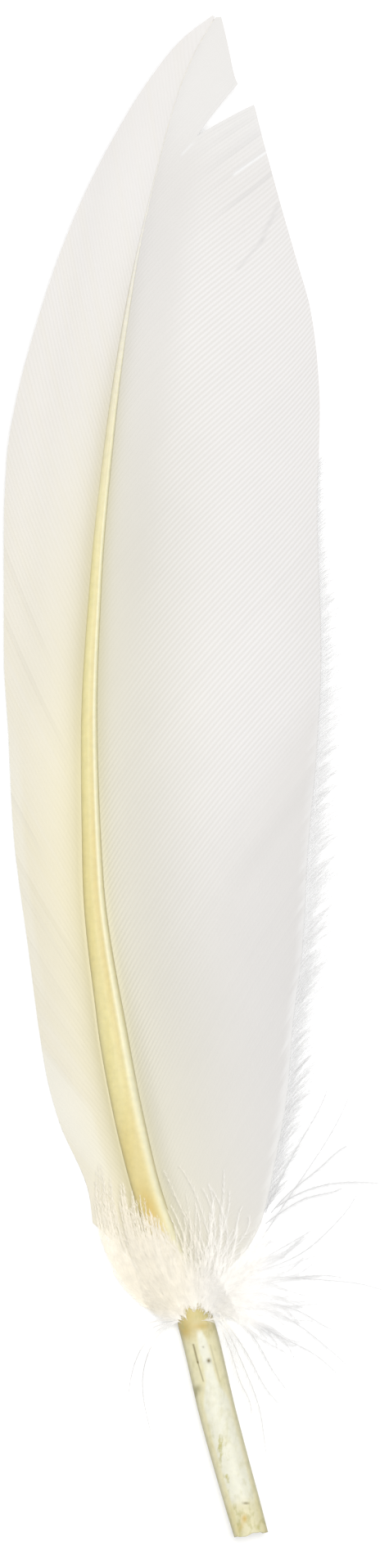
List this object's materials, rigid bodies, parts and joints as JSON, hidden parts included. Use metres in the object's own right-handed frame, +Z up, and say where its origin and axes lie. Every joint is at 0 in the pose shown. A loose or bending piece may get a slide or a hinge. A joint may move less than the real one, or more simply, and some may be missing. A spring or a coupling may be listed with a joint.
{
  "type": "goose quill feather",
  "caption": "White goose wing quill feather with a cut hollow barrel, a wide notched inner vane, a narrow outer vane and loose down at the base, lying ventral side up.",
  "frame": {"origin": "middle of the feather's footprint, on the surface that it lies on", "axes": "+Y runs from the cut end of the quill to the tip, +X points to the wide inner vane, +Z is up, out of the ventral side"},
  "size_m": [0.0698, 0.2787, 0.0095],
  "materials": {
    "horn": "satin",
    "vane": "satin",
    "down": "matte"
  },
  "bodies": {
    "root": {"shaft": "horn", "outer_vane": "vane", "inner_vane": "vane", "outer_down": "down", "inner_down": "down", "afterfeather": "down"}
  },
  "joints": []
}
